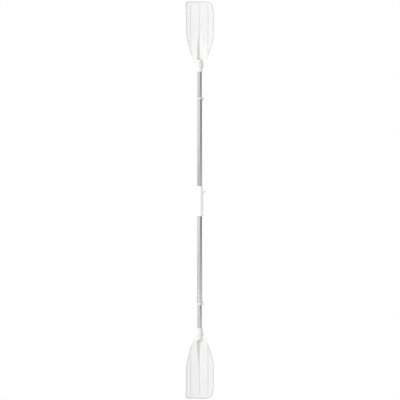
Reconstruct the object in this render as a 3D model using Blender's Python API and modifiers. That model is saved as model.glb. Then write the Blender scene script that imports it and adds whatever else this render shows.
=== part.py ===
"""A two-bladed kayak paddle that comes apart.

Two moulded plastic blades sit on aluminium tubes, each of which telescopes into a wider grip
tube and is held there by a snap button under a collar. A plastic joiner holds the grip tubes
end to end: a third snap button locks it on the lower one, and a cam lever clamps the upper one,
so that the blades can be set at an angle to each other.

Metres, +Z up along the shaft. The origin is the middle of the joiner. The blades' power faces
look along -Y, and the lever, the buttons and the collars' lugs are on the +X side.
"""

from collections import namedtuple
from math import cos, pi, radians, sin, sqrt

import bmesh
import bpy
from mathutils import Matrix, Vector

MM = 0.001

# Overall
OVERALL_LENGTH = 2440 * MM
SOLID_GAP = 0.3 * MM  # between pieces that touch
PIN_GAP = 0.1 * MM  # around the lever's pin

# Tubes
GRIP_TUBE_OD = 32 * MM
GRIP_TUBE_WALL = 1.25 * MM
TUBE_CLEARANCE = 0.25 * MM  # between the grip tube's bore and the blade tube in it
BLADE_TUBE_WALL = 1.2 * MM
BLADE_TUBE_SHOWING = 153 * MM  # from the grip tube's mouth to the blade's socket, on average
DRAWN_OUT = 7.5 * MM  # how much more of the upper blade's tube shows, and less of the lower's
BLADE_TUBE_OVERLAP = 120 * MM  # how far it goes into the grip tube

# Blade: outline, then sheet, then socket
Side = namedtuple("Side", "direction reach flare taper_from taper_power corner rib")
LEFT = Side(-1, 84 * MM, 5 * MM, 175 * MM, 1.6, 18 * MM, 59 * MM)
RIGHT = Side(1, 87 * MM, -10 * MM, 205 * MM, 1.4, 35 * MM, 49 * MM)
BLADE_LENGTH = 408 * MM  # tip to shoulder
FLARE_RUN = 110 * MM
SHEET_THICKNESS = 2.8 * MM
SCOOP = 16 * MM  # how far the tip leans towards the power face
CAMBER = 5 * MM  # how far the long edges do
CAMBER_RUN = 0.4  # the share of the blade's length over which its camber grows
RIB_HEIGHT = 2.4 * MM
RIB_HALF_WIDTH = 7 * MM
RIB_FROM_TIP = 19 * MM
TROUGH_LENGTH = 170 * MM
TROUGH_WIDTH = 31 * MM
TROUGH_SPREAD = 0.25  # how it widens along its length: 1 is evenly, 0 all at once
TROUGH_DEPTH = 15 * MM
NECK_RISE = 12 * MM  # how far the sheet lies in front of the shaft's axis by the socket
NECK_RUN = 100 * MM
NECK_WEB = 14 * MM  # how far the neck reaches past the socket where it lies so
GROOVE_DEPTH = 1.2 * MM
GROOVE_HALF_WIDTH = 3 * MM
SOCKET_WALL = 6.2 * MM
SOCKET_BELOW_SHOULDER = 24 * MM
SOCKET_DEPTH = 65 * MM
SOCKET_END_WALL = 9 * MM
SOCKET_CHAMFER = 2.5 * MM
SHEET_INTO_SOCKET = 6 * MM

# Blade screw
SCREW_FROM_MOUTH = 14 * MM
SCREW_RADIUS = 1.75 * MM
SCREW_REACH = 8 * MM
SCREW_HEAD_RADIUS = 3.6 * MM
SCREW_HEAD_TOP_RADIUS = 2.5 * MM
SCREW_HEAD_HEIGHT = 2.2 * MM
SCREW_SEAT_DEPTH = 0.9 * MM

# Collar at the grip tube's mouth
COLLAR_WALL = 1.7 * MM
COLLAR_LENGTH = 11.5 * MM
COLLAR_LIP = 2.2 * MM
FLANGE_REACH = 5 * MM  # beyond the collar's wall
FLANGE_THICKNESS = 5 * MM
FLANGE_ROUND = 1.2 * MM
LUG_REACH = 8 * MM  # beyond the flange
LUG_WIDTH = 12 * MM
LUG_LENGTH = 8 * MM

# Snap buttons
BUTTON_RADIUS = 4.2 * MM
BUTTON_FLANGE_RADIUS = 5.6 * MM
BUTTON_FLANGE_THICKNESS = 1.2 * MM
BUTTON_FROM_MOUTH = 15 * MM
BUTTON_PROUD = 5.5 * MM  # of the tube or sleeve around it
BUTTON_DOME = 2 * MM
SPRING_THICKNESS = 0.6 * MM
SPRING_WIDTH = 7 * MM
SPRING_LENGTH = 38 * MM
SPRING_BEND = 3  # how many times its thickness the spring is where it is bent

# Plugs that keep water out of the tubes
PLUG_LENGTH = 12 * MM
PLUG_CHAMFER = 1 * MM
PLUG_HEAD = 2 * MM
PLUG_RECESS = 2.5 * MM
PLUG_DIMPLE_RADIUS = 4 * MM
PLUG_DIMPLE_DEPTH = 5 * MM

# Joiner
JOINER_LENGTH = 184 * MM
JOINER_WALL = 3.7 * MM
JOINER_TAPER = 9 * MM
JOINER_MOUTH_WALL = 1.6 * MM
JOINER_CHAMFER = 1.25 * MM
STOP_WEB = 3 * MM
STOP_WEB_HOLE = 20 * MM
JOINER_BUTTON_FROM_MOUTH = 7 * MM

# Cam lever on the joiner
PIVOT_FROM_MOUTH = 33 * MM
PIVOT_FROM_SLEEVE = 8.3 * MM
CAM_RADIUS = 6.7 * MM
CAM_OFFSET = 1.5 * MM
CAM_ANGLE = radians(210)
LEVER_WIDTH = 10.4 * MM
LEVER_THICKNESS = 3.6 * MM
LEVER_END_FROM_BUTTON = 21 * MM
LEVER_GRIP = 63 * MM  # the length that stands off the sleeve
LEVER_NECK = 12 * MM  # from the pivot to where the lever is at its thickness
LEVER_END_LIFT = 4.8 * MM
LEVER_GROOVE_DEPTH = 2.4 * MM
LEVER_EDGE = 0.6 * MM  # its bevel
EAR_THICKNESS = 4 * MM
EAR_MARGIN = 8.4 * MM  # around the pivot
RAMP_TOP_FROM_MOUTH = 7 * MM
RAMP_SINK = 2.4 * MM  # how much lower the ears' ramp starts inside the sleeve's wall
PIN_RADIUS = 2 * MM
PIN_HEAD_RADIUS = 3.2 * MM
PIN_HEAD_HEIGHT = 1.2 * MM
PAD_WIDTH = 8 * MM
PAD_HEIGHT = 9.4 * MM

# How finely round things are divided, and the arcs of the ears and the cam in degrees
TUBE_SIDES = 32
SMALL_SIDES = 20
DOME_STEPS = 3
SHEET_ROWS = 19
CORNER_ROWS = 6
EAR_ARC = (45, -80)
EAR_ARC_STEPS = 8
CAM_ARC = (-40, 215)
CAM_ARC_STEPS = 16
SMOOTH_ANGLE = radians(32)
CUT_PAST = 2 * MM  # how far a cutter runs past what it cuts

# Diameters and heights along the shaft that follow from the sizes above. Heights are from the
# middle of the joiner.
BLADE_TUBE_OD = GRIP_TUBE_OD - 2 * (GRIP_TUBE_WALL + TUBE_CLEARANCE)
GRIP_BORE = GRIP_TUBE_OD / 2 - GRIP_TUBE_WALL
BLADE_TUBE_BORE = BLADE_TUBE_OD / 2 - BLADE_TUBE_WALL
SOCKET_BORE = BLADE_TUBE_OD / 2 + SOLID_GAP
SOCKET_OD = 2 * (SOCKET_BORE + SOCKET_WALL)
JOINER_BORE = GRIP_TUBE_OD / 2 + SOLID_GAP
JOINER_OD = 2 * (JOINER_BORE + JOINER_WALL)
TIP = OVERALL_LENGTH / 2
SOCKET_MOUTH = TIP - BLADE_LENGTH - SOCKET_BELOW_SHOULDER
SOCKET_FLOOR = SOCKET_MOUTH + SOCKET_DEPTH
SOCKET_END = SOCKET_FLOOR + SOCKET_END_WALL
GRIP_END = STOP_WEB / 2 + SOLID_GAP
GRIP_MOUTH = SOCKET_MOUTH - BLADE_TUBE_SHOWING
BLADE_TUBE_END = GRIP_MOUTH - BLADE_TUBE_OVERLAP
BUTTON_Z = GRIP_MOUTH - BUTTON_FROM_MOUTH
JOINER_BUTTON_Z = JOINER_BUTTON_FROM_MOUTH - JOINER_LENGTH / 2
LEVER_SLOT = LEVER_WIDTH + 2 * SOLID_GAP
LEVER_END_Z = JOINER_BUTTON_Z + LEVER_END_FROM_BUTTON
LEVER_BEND_Z = LEVER_END_Z + LEVER_GRIP
PIVOT_X = JOINER_OD / 2 + PIVOT_FROM_SLEEVE
PIVOT_Z = JOINER_LENGTH / 2 - PIVOT_FROM_MOUTH
EAR_REACH = PIVOT_X + EAR_MARGIN
EAR_SPAN = LEVER_SLOT + 2 * EAR_THICKNESS
GROOVE_FLOOR = JOINER_OD / 2 - LEVER_GROOVE_DEPTH
PAD_FACE = PIVOT_X + CAM_OFFSET * cos(CAM_ANGLE) - CAM_RADIUS - SOLID_GAP


# Scene, materials and parenting


def clear_scene():
    for thing in list(bpy.data.objects):
        bpy.data.objects.remove(thing)


def new_collection(name):
    collection = bpy.data.collections.new(name)
    bpy.context.scene.collection.children.link(collection)
    return collection


def make_material(name, colour, roughness, metallic=0.0, transmission=0.0):
    material = bpy.data.materials.new(name)
    material.use_nodes = True
    shader = material.node_tree.nodes["Principled BSDF"]
    shader.inputs["Base Color"].default_value = (*colour, 1)
    shader.inputs["Roughness"].default_value = roughness
    shader.inputs["Metallic"].default_value = metallic
    shader.inputs["Transmission Weight"].default_value = transmission
    material.diffuse_color = (*colour, 1)
    return material


def add_empty(name, parent=None, location=(0, 0, 0), rotation=(0, 0, 0)):
    empty = bpy.data.objects.new(name, None)
    PARTS.objects.link(empty)
    empty.parent = parent
    empty.location = location
    empty.rotation_euler = rotation
    return empty


def add_piece(name, mesh, parent, material, location=(0, 0, 0), rotation=(0, 0, 0)):
    """A part of the paddle, or a cutter where it has no material."""
    piece = bpy.data.objects.new(name, mesh)
    (PARTS if material else CUTTERS).objects.link(piece)
    piece.parent = parent
    piece.location = location
    piece.rotation_euler = rotation
    if material:
        mesh.materials.append(material)
    else:
        piece.hide_render = True
        piece.display_type = "WIRE"
    return piece


def mesh_from(name, build):
    mesh = bpy.data.meshes.new(name)
    shape = bmesh.new()
    build(shape)
    bmesh.ops.recalc_face_normals(shape, faces=shape.faces)
    shape.to_mesh(mesh)
    shape.free()
    return mesh


# Shapes


def turned(name, profile, parent, material, sides=TUBE_SIDES, closed=True, **placed):
    """A turned piece. The profile's (radius, height) points run down its outer side, and back
    up its inner side where it is closed."""
    mesh = bpy.data.meshes.new(name)
    points = [(radius, 0, height) for radius, height in profile]
    edges = [(i, i + 1) for i in range(len(points) - 1)]
    if closed:
        edges.append((len(points) - 1, 0))
    mesh.from_pydata(points, edges, [])
    piece = add_piece(name, mesh, parent, material, **placed)
    screw = piece.modifiers.new("turn", "SCREW")
    screw.steps = sides
    screw.render_steps = sides
    screw.use_merge_vertices = True
    screw.merge_threshold = 0.00001
    return piece


def tube(name, outer, inner, low, high, parent, material):
    profile = [(outer, high), (outer, low), (inner, low), (inner, high)]
    return turned(name, profile, parent, material)


def rod(name, radius, start, end, parent, sides=SMALL_SIDES):
    """A round cutter from one point to another."""
    start, end = Vector(start), Vector(end)
    along = end - start
    turn = along.to_track_quat("Z", "Y").to_matrix().to_4x4()
    placed = Matrix.Translation((start + end) / 2) @ turn

    def build(shape):
        bmesh.ops.create_cone(
            shape,
            cap_ends=True,
            segments=sides,
            radius1=radius,
            radius2=radius,
            depth=along.length,
            matrix=placed,
        )

    return add_piece(name, mesh_from(name, build), parent, None)


def block(name, low, high, parent, material=None, **placed):
    """A box between two corners."""
    low, high = Vector(low), Vector(high)
    size = Matrix.Diagonal((*(high - low), 1))

    def build(shape):
        bmesh.ops.create_cube(shape, size=1, matrix=Matrix.Translation((low + high) / 2) @ size)

    return add_piece(name, mesh_from(name, build), parent, material, **placed)


def side_cut(name, outline, width, parent, material=None, location=(0, 0, 0)):
    """A flat outline of (x, z) points, as thick as width along Y, made a mesh so that it can be
    cut or joined."""
    curve = bpy.data.curves.new(name, "CURVE")
    curve.dimensions = "2D"
    curve.fill_mode = "BOTH"
    curve.extrude = width / 2
    spline = curve.splines.new("POLY")
    spline.points.add(len(outline) - 1)
    for point, (x, z) in zip(spline.points, outline):
        point.co = (x, z, 0, 1)
    spline.use_cyclic_u = True
    drawn = bpy.data.objects.new(name, curve)
    PARTS.objects.link(drawn)
    upright = Matrix.Rotation(pi / 2, 4, "X")
    graph = bpy.context.evaluated_depsgraph_get()
    mesh = bpy.data.meshes.new_from_object(drawn.evaluated_get(graph))
    bpy.data.objects.remove(drawn)
    mesh.transform(upright)
    shape = bmesh.new()
    shape.from_mesh(mesh)
    bmesh.ops.remove_doubles(shape, verts=shape.verts, dist=0.00001)
    bmesh.ops.recalc_face_normals(shape, faces=shape.faces)
    shape.to_mesh(mesh)
    shape.free()
    mesh.name = name
    return add_piece(name, mesh, parent, material, location=location)


def boolean(piece, operation, *tools):
    for tool in tools:
        step = piece.modifiers.new(tool.name, "BOOLEAN")
        step.operation = operation
        step.object = tool
        step.solver = "EXACT"


def arc(centre, radius, first, last, steps):
    """Points round an arc, with its angles in degrees."""
    turns = [radians(first + (last - first) * i / steps) for i in range(steps + 1)]
    return [(centre[0] + radius * cos(a), centre[1] + radius * sin(a)) for a in turns]


# Blade


def edge_reach(side, from_tip):
    """How far the blade reaches to one side of the shaft's axis."""
    flare = side.flare * max(0, 1 - from_tip / FLARE_RUN) ** 2
    taper = max(0, (from_tip - side.taper_from) / (BLADE_LENGTH - side.taper_from))
    neck = SOCKET_OD / 2
    reach = side.reach + flare - (side.reach - neck) * min(1, taper) ** side.taper_power
    if from_tip < side.corner:
        reach -= side.corner - sqrt(side.corner**2 - (side.corner - from_tip) ** 2)
    return reach


def bump(distance, half_width):
    """A smooth rise of 1 at a line, and 0 from half_width away."""
    return cos(pi / 2 * min(1, abs(distance) / half_width)) ** 2


def ramp(value, start, length):
    """0 before start, 1 from length beyond it."""
    return min(1, max(0, (value - start) / length))


def sheet_height(x, from_tip):
    """How far the blade's sheet lies towards the power face at a point."""
    up_blade = max(0, 1 - from_tip / BLADE_LENGTH)
    height = SCOOP * up_blade**2 + CAMBER * (x / LEFT.reach) ** 2 * ramp(up_blade, 0, CAMBER_RUN)
    side = LEFT if x < 0 else RIGHT
    reach = edge_reach(side, from_tip)
    trough_end = TIP - SOCKET_END
    web = ramp(reach - SOCKET_OD / 2, 0, NECK_WEB)
    height += NECK_RISE * web * ramp(from_tip, trough_end - NECK_RUN, NECK_RUN)
    room = ramp(reach - side.rib, 0, RIB_HALF_WIDTH)
    started = ramp(from_tip, RIB_FROM_TIP, RIB_FROM_TIP / 2)
    height += RIB_HEIGHT * bump(abs(x) - side.rib, RIB_HALF_WIDTH) * room * started
    height -= GROOVE_DEPTH * bump(x, GROOVE_HALF_WIDTH) * started
    along = ramp(from_tip, trough_end - TROUGH_LENGTH, TROUGH_LENGTH)
    if along:
        across = min(1, abs(x) / (along**TROUGH_SPREAD * TROUGH_WIDTH / 2))
        height -= TROUGH_DEPTH * along * (1 - across**2)
    return height


def sheet_lines():
    """Distances from the blade's centre line at which its sheet has a line of points: enough of
    them to follow the groove, the trough and the ribs, for each side."""
    centre = [GROOVE_HALF_WIDTH, TROUGH_WIDTH / 4, TROUGH_WIDTH / 2]
    for side in (LEFT, RIGHT):
        low = side.rib - RIB_HALF_WIDTH
        middle = (TROUGH_WIDTH / 2 + low) / 2
        high = side.rib + RIB_HALF_WIDTH
        yield side, [*centre, middle, low, side.rib, high], high


def sheet_row(from_tip):
    """The x of each of the sheet's lines at one distance from the tip. The lines run straight
    where the blade is wide, and draw in with its edge where it is narrow."""
    row = [0.0]
    for side, lines, outermost in sheet_lines():
        reach = edge_reach(side, from_tip)
        held = outermost + RIB_HALF_WIDTH
        xs = [side.direction * line * min(1, reach / held) for line in lines]
        row += [*xs, side.direction * reach]
    return sorted(row)


def sheet_mesh(name, facing):
    """The blade's sheet, with no thickness yet."""
    turns = [pi / 2 * k / CORNER_ROWS for k in range(CORNER_ROWS)]
    corner = max(LEFT.corner, RIGHT.corner)
    rows = [corner * (1 - cos(turn)) for turn in turns]
    length = BLADE_LENGTH + SHEET_INTO_SOCKET
    rows += [corner + (length - corner) * k / SHEET_ROWS for k in range(SHEET_ROWS + 1)]

    def build(shape):
        grid = []
        for from_tip in rows:
            points = [(x, -facing * sheet_height(x, from_tip)) for x in sheet_row(from_tip)]
            grid.append([shape.verts.new((x, y, TIP - from_tip)) for x, y in points])
        for near, far in zip(grid, grid[1:]):
            for i in range(len(near) - 1):
                shape.faces.new((near[i], near[i + 1], far[i + 1], far[i]))

    return mesh_from(name, build)


def make_blade(end, parent, facing):
    """The moulded blade, with its power face towards -Y in the whole paddle's frame: facing is
    -1 under a parent that is turned half over."""
    blade = add_piece(f"{end}_blade", sheet_mesh(f"{end}_blade", facing), parent, PLASTIC)
    thick = blade.modifiers.new("thickness", "SOLIDIFY")
    thick.thickness = SHEET_THICKNESS
    thick.offset = 0
    thick.use_even_offset = True
    outer, chamfer = SOCKET_OD / 2, SOCKET_CHAMFER
    profile = [
        (0, SOCKET_END),
        (outer - chamfer, SOCKET_END),
        (outer, SOCKET_END - chamfer),
        (outer, SOCKET_MOUTH),
        (0, SOCKET_MOUTH),
    ]
    socket = turned(f"{end}_socket_body", profile, parent, None, closed=False)
    bore = rod(
        f"{end}_socket_bore",
        SOCKET_BORE,
        (0, 0, SOCKET_MOUTH - CUT_PAST),
        (0, 0, SOCKET_FLOOR + SOLID_GAP),
        parent,
        sides=TUBE_SIDES,
    )
    screw_z = SOCKET_MOUTH + SCREW_FROM_MOUTH
    seat = outer - SCREW_SEAT_DEPTH
    seat_cut = rod(
        f"{end}_screw_seat",
        SCREW_HEAD_RADIUS + 2 * SOLID_GAP,
        (0, facing * seat, screw_z),
        (0, facing * (outer + CUT_PAST), screw_z),
        parent,
    )
    hole = screw_hole(f"{end}_screw_hole", parent, facing)
    boolean(blade, "UNION", socket)
    boolean(blade, "DIFFERENCE", bore, seat_cut, hole)
    head, shank = seat + SOLID_GAP, seat + SOLID_GAP - SCREW_REACH
    profile = [
        (0, head + SCREW_HEAD_HEIGHT),
        (SCREW_HEAD_TOP_RADIUS, head + SCREW_HEAD_HEIGHT),
        (SCREW_HEAD_RADIUS, head + SCREW_HEAD_HEIGHT / 2),
        (SCREW_HEAD_RADIUS, head),
        (SCREW_RADIUS, head),
        (SCREW_RADIUS, shank),
        (0, shank - SCREW_RADIUS),
    ]
    turned(
        f"{end}_blade_screw",
        profile,
        parent,
        STEEL,
        sides=SMALL_SIDES,
        closed=False,
        location=(0, 0, screw_z),
        rotation=(-facing * pi / 2, 0, 0),
    )
    return hole


def screw_hole(name, parent, facing):
    """The cutter for the blade's screw, through the socket's back and the tube in it."""
    screw_z = SOCKET_MOUTH + SCREW_FROM_MOUTH
    start, end = (0, 0, screw_z), (0, facing * (SOCKET_OD / 2 + CUT_PAST), screw_z)
    return rod(name, SCREW_RADIUS + SOLID_GAP, start, end, parent)


# Tubes, plugs, collars and snap buttons


def button_hole(name, height, reach, parent):
    """The cutter for a snap button's hole, on the +X side."""
    return rod(name, BUTTON_RADIUS + SOLID_GAP, (0, 0, height), (reach, 0, height), parent)


def make_button(name, height, bore, around, parent):
    """A snap button that stands out along +X, and the V spring behind it. The button's flange
    bears on the inside of a tube of radius bore, and it stands proud of the radius around."""
    corner = sqrt((bore - SOLID_GAP) ** 2 - BUTTON_FLANGE_RADIUS**2)
    base = corner - BUTTON_FLANGE_THICKNESS
    top = around + BUTTON_PROUD
    turns = [pi / 2 * step / DOME_STEPS for step in range(DOME_STEPS + 1)]
    profile = [(BUTTON_RADIUS * sin(turn), top - BUTTON_DOME * (1 - cos(turn))) for turn in turns]
    profile += [
        (BUTTON_RADIUS, corner),
        (BUTTON_FLANGE_RADIUS, corner),
        (BUTTON_FLANGE_RADIUS, base),
        (0, base),
    ]
    turned(
        f"{name}_button",
        profile,
        parent,
        STEEL,
        sides=SMALL_SIDES,
        closed=False,
        location=(0, 0, height),
        rotation=(0, pi / 2, 0),
    )
    near = base - SOLID_GAP
    far = -sqrt((bore - SOLID_GAP) ** 2 - (SPRING_WIDTH / 2) ** 2)
    thick, foot = SPRING_THICKNESS, BUTTON_FLANGE_RADIUS
    inner_bend = SPRING_BEND * thick - SPRING_LENGTH
    outline = [
        (near, foot),
        (near, -foot),
        (thick, -SPRING_LENGTH),
        (-thick, -SPRING_LENGTH),
        (far, -foot),
        (far, foot),
        (far + thick, foot),
        (far + thick, -foot),
        (0, inner_bend),
        (near - thick, -foot),
        (near - thick, foot),
    ]
    side_cut(f"{name}_spring", outline, SPRING_WIDTH, parent, STEEL, location=(0, 0, height))


def make_plug(name, bore, height, parent, head=0.0):
    """A plastic plug that fills a tube's end. It has a head outside the tube where one is given,
    and a dimple to pull it out by."""
    outer = bore - SOLID_GAP
    top = height + PLUG_LENGTH
    profile = [(0, top), (outer - SOLID_GAP, top), (outer, top - PLUG_CHAMFER)]
    bottom = height
    if head:
        under = height - SOLID_GAP
        bottom = under - head
        profile += [(outer, under), (bore + head / 2, under), (bore + head / 2, bottom)]
    else:
        profile.append((outer, bottom))
    dimple = bottom + PLUG_DIMPLE_DEPTH
    profile += [(PLUG_DIMPLE_RADIUS, bottom), (PLUG_DIMPLE_RADIUS, dimple), (0, dimple)]
    turned(name, profile, parent, GREY_PLASTIC, closed=False)


def make_collar(end, parent):
    """The collar round the grip tube's mouth: a flange that sheds drips, and on the +X side a
    lug that guards the snap button."""
    bore, lip = GRIP_TUBE_OD / 2 + SOLID_GAP, BLADE_TUBE_OD / 2 + SOLID_GAP
    face = GRIP_MOUTH + SOLID_GAP
    top = face + COLLAR_LIP
    under, foot = top - FLANGE_THICKNESS, top - COLLAR_LENGTH
    hub, soft = bore + COLLAR_WALL, FLANGE_ROUND
    rim = hub + FLANGE_REACH
    reach = rim + LUG_REACH
    profile = [
        (rim - soft, top),
        (rim, top - soft),
        (rim, under + soft),
        (rim - soft, under),
        (hub, under),
        (hub, foot),
        (bore, foot),
        (bore, face),
        (lip, face),
        (lip, top),
    ]
    collar = turned(f"{end}_collar", profile, parent, WHITE_PLASTIC)
    lug_foot = top - LUG_LENGTH
    outline = [
        (hub - soft, top),
        (rim, top),
        (reach, lug_foot + soft),
        (reach - soft, lug_foot),
        (hub - soft, lug_foot),
    ]
    lug = side_cut(f"{end}_collar_lug", outline, LUG_WIDTH, parent)
    boolean(collar, "UNION", lug)


def make_half(end, parent, facing, drawn_out):
    """One half of the paddle but for the joiner: grip tube, collar, blade tube and blade."""
    section = add_empty(f"{end}_blade_section", parent, location=(0, 0, drawn_out))
    screw_cut = make_blade(end, section, facing)
    hole = button_hole(f"{end}_button_hole", BUTTON_Z, GRIP_TUBE_OD, parent)
    outer = BLADE_TUBE_OD / 2
    blade_tube = tube(
        f"{end}_blade_tube",
        outer,
        BLADE_TUBE_BORE,
        BLADE_TUBE_END,
        SOCKET_FLOOR,
        section,
        ALUMINIUM,
    )
    boolean(blade_tube, "DIFFERENCE", hole, screw_cut)
    make_plug(f"{end}_blade_tube_plug", BLADE_TUBE_BORE, BLADE_TUBE_END, section, head=PLUG_HEAD)
    grip_tube = tube(
        f"{end}_grip_tube",
        GRIP_TUBE_OD / 2,
        GRIP_BORE,
        GRIP_END,
        GRIP_MOUTH,
        parent,
        ALUMINIUM,
    )
    boolean(grip_tube, "DIFFERENCE", hole)
    make_plug(f"{end}_grip_plug", GRIP_BORE, GRIP_END + PLUG_RECESS, parent)
    make_collar(end, parent)
    make_button(f"{end}_snap", BUTTON_Z, BLADE_TUBE_BORE, GRIP_TUBE_OD / 2, parent)
    return grip_tube


# Joiner and lever


def make_joiner(parent):
    """The sleeve that holds the grip tubes end to end, with the ears that carry the lever."""
    outer, half = JOINER_OD / 2, JOINER_LENGTH / 2
    mouth, web, hole = JOINER_BORE + JOINER_MOUTH_WALL, STOP_WEB / 2, STOP_WEB_HOLE / 2
    profile = [
        (mouth, half),
        (outer, half - JOINER_TAPER),
        (outer, JOINER_CHAMFER - half),
        (outer - JOINER_CHAMFER, -half),
        (JOINER_BORE, -half),
        (JOINER_BORE, -web),
        (hole, -web),
        (hole, web),
        (JOINER_BORE, web),
        (JOINER_BORE, half),
    ]
    sleeve = turned("joiner_sleeve", profile, parent, WHITE_PLASTIC)
    ramp_top = half - RAMP_TOP_FROM_MOUTH
    sunk = (outer + JOINER_BORE) / 2
    ears_foot = PIVOT_Z - EAR_MARGIN
    slot_top = PIVOT_Z + EAR_MARGIN + SOLID_GAP
    outline = [(sunk, ramp_top - RAMP_SINK), (outer, ramp_top)]
    outline += arc((PIVOT_X, PIVOT_Z), EAR_MARGIN, *EAR_ARC, EAR_ARC_STEPS)
    outline += [(outer, ears_foot - SOLID_GAP), (sunk, ears_foot - SOLID_GAP)]
    ears = side_cut("joiner_ears", outline, EAR_SPAN, parent)
    slot = LEVER_SLOT / 2
    lever_slot = block(
        "lever_slot",
        (outer, -slot, ears_foot - CUT_PAST),
        (EAR_REACH + CUT_PAST, slot, slot_top),
        parent,
    )
    pad_top, pad_side = PAD_HEIGHT / 2 + SOLID_GAP, PAD_WIDTH / 2 + SOLID_GAP
    window = block(
        "pad_window",
        (JOINER_BORE / 2, -pad_side, PIVOT_Z - pad_top),
        (outer + CUT_PAST, pad_side, PIVOT_Z + pad_top),
        parent,
    )
    groove = block(
        "lever_groove",
        (GROOVE_FLOOR, -slot, LEVER_END_Z - CUT_PAST),
        (EAR_REACH, slot, PIVOT_Z - pad_top + SOLID_GAP),
        parent,
    )
    pin_reach = EAR_SPAN / 2 + CUT_PAST
    pin_hole = rod(
        "pin_hole",
        PIN_RADIUS + PIN_GAP,
        (PIVOT_X, -pin_reach, PIVOT_Z),
        (PIVOT_X, pin_reach, PIVOT_Z),
        parent,
    )
    locking_hole = button_hole("joiner_button_hole", JOINER_BUTTON_Z, JOINER_OD, parent)
    boolean(sleeve, "UNION", ears)
    boolean(sleeve, "DIFFERENCE", lever_slot, window, groove, pin_hole, locking_hole)
    return locking_hole


def make_lever(parent):
    """The cam lever, its pin and the pad that its cam presses on the upper grip tube. The lever's
    origin is on its pivot."""
    cam = (CAM_OFFSET * cos(CAM_ANGLE), CAM_OFFSET * sin(CAM_ANGLE))
    inner = GROOVE_FLOOR + SOLID_GAP - PIVOT_X
    neck, bend, end = -LEVER_NECK, LEVER_BEND_Z - PIVOT_Z, LEVER_END_Z - PIVOT_Z
    outer = inner + LEVER_THICKNESS
    outline = [
        (inner, neck),
        (inner, bend),
        (inner + LEVER_END_LIFT, end),
        (outer + LEVER_END_LIFT, end),
        (outer, bend),
        (outer, neck - LEVER_THICKNESS * 2),
    ]
    outline += arc(cam, CAM_RADIUS, *CAM_ARC, CAM_ARC_STEPS)
    lever = side_cut(
        "clamp_lever", outline, LEVER_WIDTH, parent, WHITE_PLASTIC, location=(PIVOT_X, 0, PIVOT_Z)
    )
    soft = lever.modifiers.new("soft edges", "BEVEL")
    soft.width = LEVER_EDGE
    soft.segments = 1
    soft.limit_method = "ANGLE"
    soft.angle_limit = radians(60)
    reach = LEVER_WIDTH
    hole = rod(
        "lever_pin_hole",
        PIN_RADIUS + PIN_GAP,
        (PIVOT_X, -reach, PIVOT_Z),
        (PIVOT_X, reach, PIVOT_Z),
        parent,
    )
    boolean(lever, "DIFFERENCE", hole)
    shoulder = EAR_SPAN / 2 + SOLID_GAP
    top = shoulder + PIN_HEAD_HEIGHT
    profile = [
        (0, top),
        (PIN_HEAD_RADIUS, top),
        (PIN_HEAD_RADIUS, shoulder),
        (PIN_RADIUS, shoulder),
        (PIN_RADIUS, -shoulder),
        (PIN_HEAD_RADIUS, -shoulder),
        (PIN_HEAD_RADIUS, -top),
        (0, -top),
    ]
    turned(
        "lever_pin",
        profile,
        parent,
        STEEL,
        sides=SMALL_SIDES,
        closed=False,
        location=(PIVOT_X, 0, PIVOT_Z),
        rotation=(pi / 2, 0, 0),
    )
    half_width, half_height = PAD_WIDTH / 2, PAD_HEIGHT / 2
    pad = block(
        "pressure_pad",
        (JOINER_BORE / 2, -half_width, -half_height),
        (PAD_FACE, half_width, half_height),
        parent,
        GREY_PLASTIC,
        location=(0, 0, PIVOT_Z),
    )
    beside_tube = rod(
        "pad_hollow",
        GRIP_TUBE_OD / 2 + SOLID_GAP,
        (0, 0, PIVOT_Z - PAD_HEIGHT),
        (0, 0, PIVOT_Z + PAD_HEIGHT),
        parent,
        sides=TUBE_SIDES,
    )
    boolean(pad, "DIFFERENCE", beside_tube)


def settle_meshes():
    """Makes each part's modifiers real, and shades its round faces smooth up to its edges."""
    bpy.context.view_layer.update()
    graph = bpy.context.evaluated_depsgraph_get()
    pieces = [piece for piece in PARTS.objects if piece.type == "MESH"]
    made = [bpy.data.meshes.new_from_object(piece.evaluated_get(graph)) for piece in pieces]
    for piece, mesh in zip(pieces, made):
        mesh.shade_smooth()
        mesh.set_sharp_from_angle(angle=SMOOTH_ANGLE)
        piece.modifiers.clear()
        piece.data = mesh


clear_scene()
PARTS = new_collection("kayak_paddle")
CUTTERS = new_collection("cutters")
PLASTIC = make_material("blade_plastic", (0.86, 0.87, 0.85), 0.35, transmission=0.15)
WHITE_PLASTIC = make_material("joiner_plastic", (0.88, 0.88, 0.87), 0.4)
GREY_PLASTIC = make_material("plug_plastic", (0.55, 0.56, 0.57), 0.5)
ALUMINIUM = make_material("tube_aluminium", (0.78, 0.79, 0.8), 0.28, metallic=1.0)
STEEL = make_material("button_steel", (0.62, 0.62, 0.64), 0.3, metallic=1.0)

paddle = add_empty("paddle")
upper_half = add_empty("upper_half", paddle)
lower_half = add_empty("lower_half", paddle, rotation=(pi, 0, 0))
make_half("upper", upper_half, 1, DRAWN_OUT)
lower_grip_tube = make_half("lower", lower_half, -1, -DRAWN_OUT)
joiner = add_empty("joiner", paddle)
boolean(lower_grip_tube, "DIFFERENCE", make_joiner(joiner))
make_button("joiner", JOINER_BUTTON_Z, GRIP_BORE, JOINER_OD / 2, joiner)
make_lever(joiner)
settle_meshes()
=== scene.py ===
"""How the two-bladed kayak paddle looks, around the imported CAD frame.

Fine meshes stand for the blades, tubes, collars, joiner, lever, buttons and screws, and the CAD's
own springs, plugs and pressure pad keep their shape and get better materials. Metres, +Z up along
the shaft, with the origin in the middle of the joiner. The power faces look along -Y, towards the
camera. The lower half is the upper half's mirror image, so pieces are made for the upper half
and turned over.
"""

from collections import namedtuple
from math import asin, cos, hypot, pi, radians, sin, sqrt

import bmesh
import bpy
from mathutils import Matrix, Vector


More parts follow.
